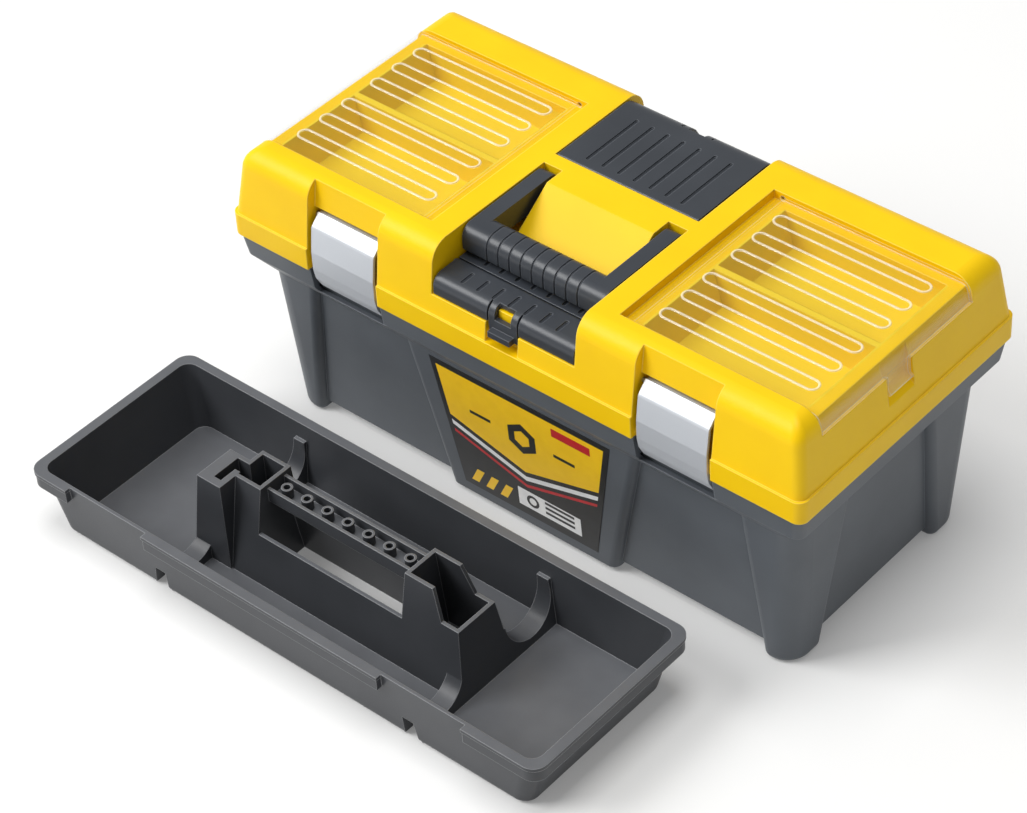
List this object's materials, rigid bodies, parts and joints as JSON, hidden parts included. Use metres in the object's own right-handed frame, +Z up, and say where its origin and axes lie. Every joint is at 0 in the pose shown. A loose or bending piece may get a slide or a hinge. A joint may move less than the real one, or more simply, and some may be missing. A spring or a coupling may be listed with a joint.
{
  "type": "toolbox with tray",
  "caption": "Lidded plastic toolbox with front latches, a folding carry handle, clear-covered lid wells and a lift-out tray standing beside it.",
  "frame": {"origin": "On the floor under the middle of the box and the tray together, seen from above.", "axes": "+X runs along the length of the box to the right as seen from the latches, +Y from the latches to the hinge, +Z up."},
  "size_m": [0.5634, 0.4634, 0.246],
  "materials": {
    "tub_plastic": "slate grey moulded polypropylene",
    "lid_plastic": "yellow moulded polypropylene",
    "dark_plastic": "dark grey moulded plastic",
    "tray_plastic": "blackish grey moulded plastic",
    "clear_plastic": "clear moulded polycarbonate",
    "latch_metal": "satin metal sheet",
    "steel_pin": "plain drawn steel",
    "label_film": "printed film, plain design"
  },
  "bodies": {
    "tub": {"tub": "tub_plastic", "label": "label_film", "lid_hinge_pin_left": "steel_pin", "lid_hinge_pin_right": "steel_pin"},
    "lid": {"lid": "lid_plastic", "handle_pin_left": "steel_pin", "handle_pin_right": "steel_pin", "front_plate_pin": "steel_pin", "front_liner": "dark_plastic", "rear_plate_pin": "steel_pin", "latch_pin_left": "steel_pin", "latch_pin_right": "steel_pin"},
    "handle": {"handle": "dark_plastic"},
    "front_plate": {"front_plate": "dark_plastic"},
    "rear_plate": {"rear_plate": "dark_plastic"},
    "latch_left": {"latch_left": "latch_metal"},
    "latch_right": {"latch_right": "latch_metal"},
    "cover_left": {"cover_left": "clear_plastic"},
    "cover_right": {"cover_right": "clear_plastic"},
    "tray": {"tray": "tray_plastic", "bit_holder_1": "tray_plastic", "bit_holder_2": "tray_plastic", "bit_holder_3": "tray_plastic", "bit_holder_4": "tray_plastic", "bit_holder_5": "tray_plastic", "bit_holder_6": "tray_plastic", "bit_holder_7": "tray_plastic"}
  },
  "joints": [
    {"name": "lid_hinge", "type": "hinge", "parent": "tub", "child": "lid", "pos_m": [0.01775, 0.22725, 0.171], "axis": [-1, 0, 0], "range_deg": [0, 100]},
    {"name": "handle_fold", "type": "hinge", "parent": "lid", "child": "handle", "pos_m": [0.01775, 0.08975, 0.236], "axis": [-1, 0, 0], "range_deg": [0, 90]},
    {"name": "front_plate_hinge", "type": "hinge", "parent": "lid", "child": "front_plate", "pos_m": [0.01775, -0.00075, 0.2194], "axis": [-1, 0, 0], "range_deg": [0, 85]},
    {"name": "rear_plate_hinge", "type": "hinge", "parent": "lid", "child": "rear_plate", "pos_m": [0.01775, 0.11535, 0.2434], "axis": [1, 0, 0], "range_deg": [0, 90]},
    {"name": "latch_left_hinge", "type": "hinge", "parent": "lid", "child": "latch_left", "pos_m": [-0.13475, -0.01525, 0.2146], "axis": [-1, 0, 0], "range_deg": [0, 70]},
    {"name": "latch_right_hinge", "type": "hinge", "parent": "lid", "child": "latch_right", "pos_m": [0.17025, -0.01525, 0.2146], "axis": [-1, 0, 0], "range_deg": [0, 70]},
    {"name": "cover_left_hinge", "type": "hinge", "parent": "lid", "child": "cover_left", "pos_m": [-0.07625, 0.08675, 0.2417], "axis": [0, 1, 0], "range_deg": [0, 95]},
    {"name": "cover_right_hinge", "type": "hinge", "parent": "lid", "child": "cover_right", "pos_m": [0.11175, 0.08675, 0.2417], "axis": [0, -1, 0], "range_deg": [0, 95]},
    {"name": "tray_lift", "type": "slide", "parent": "tub", "child": "tray", "axis": [0, 0, 1], "range_m": [0, 0.2]}
  ]
}
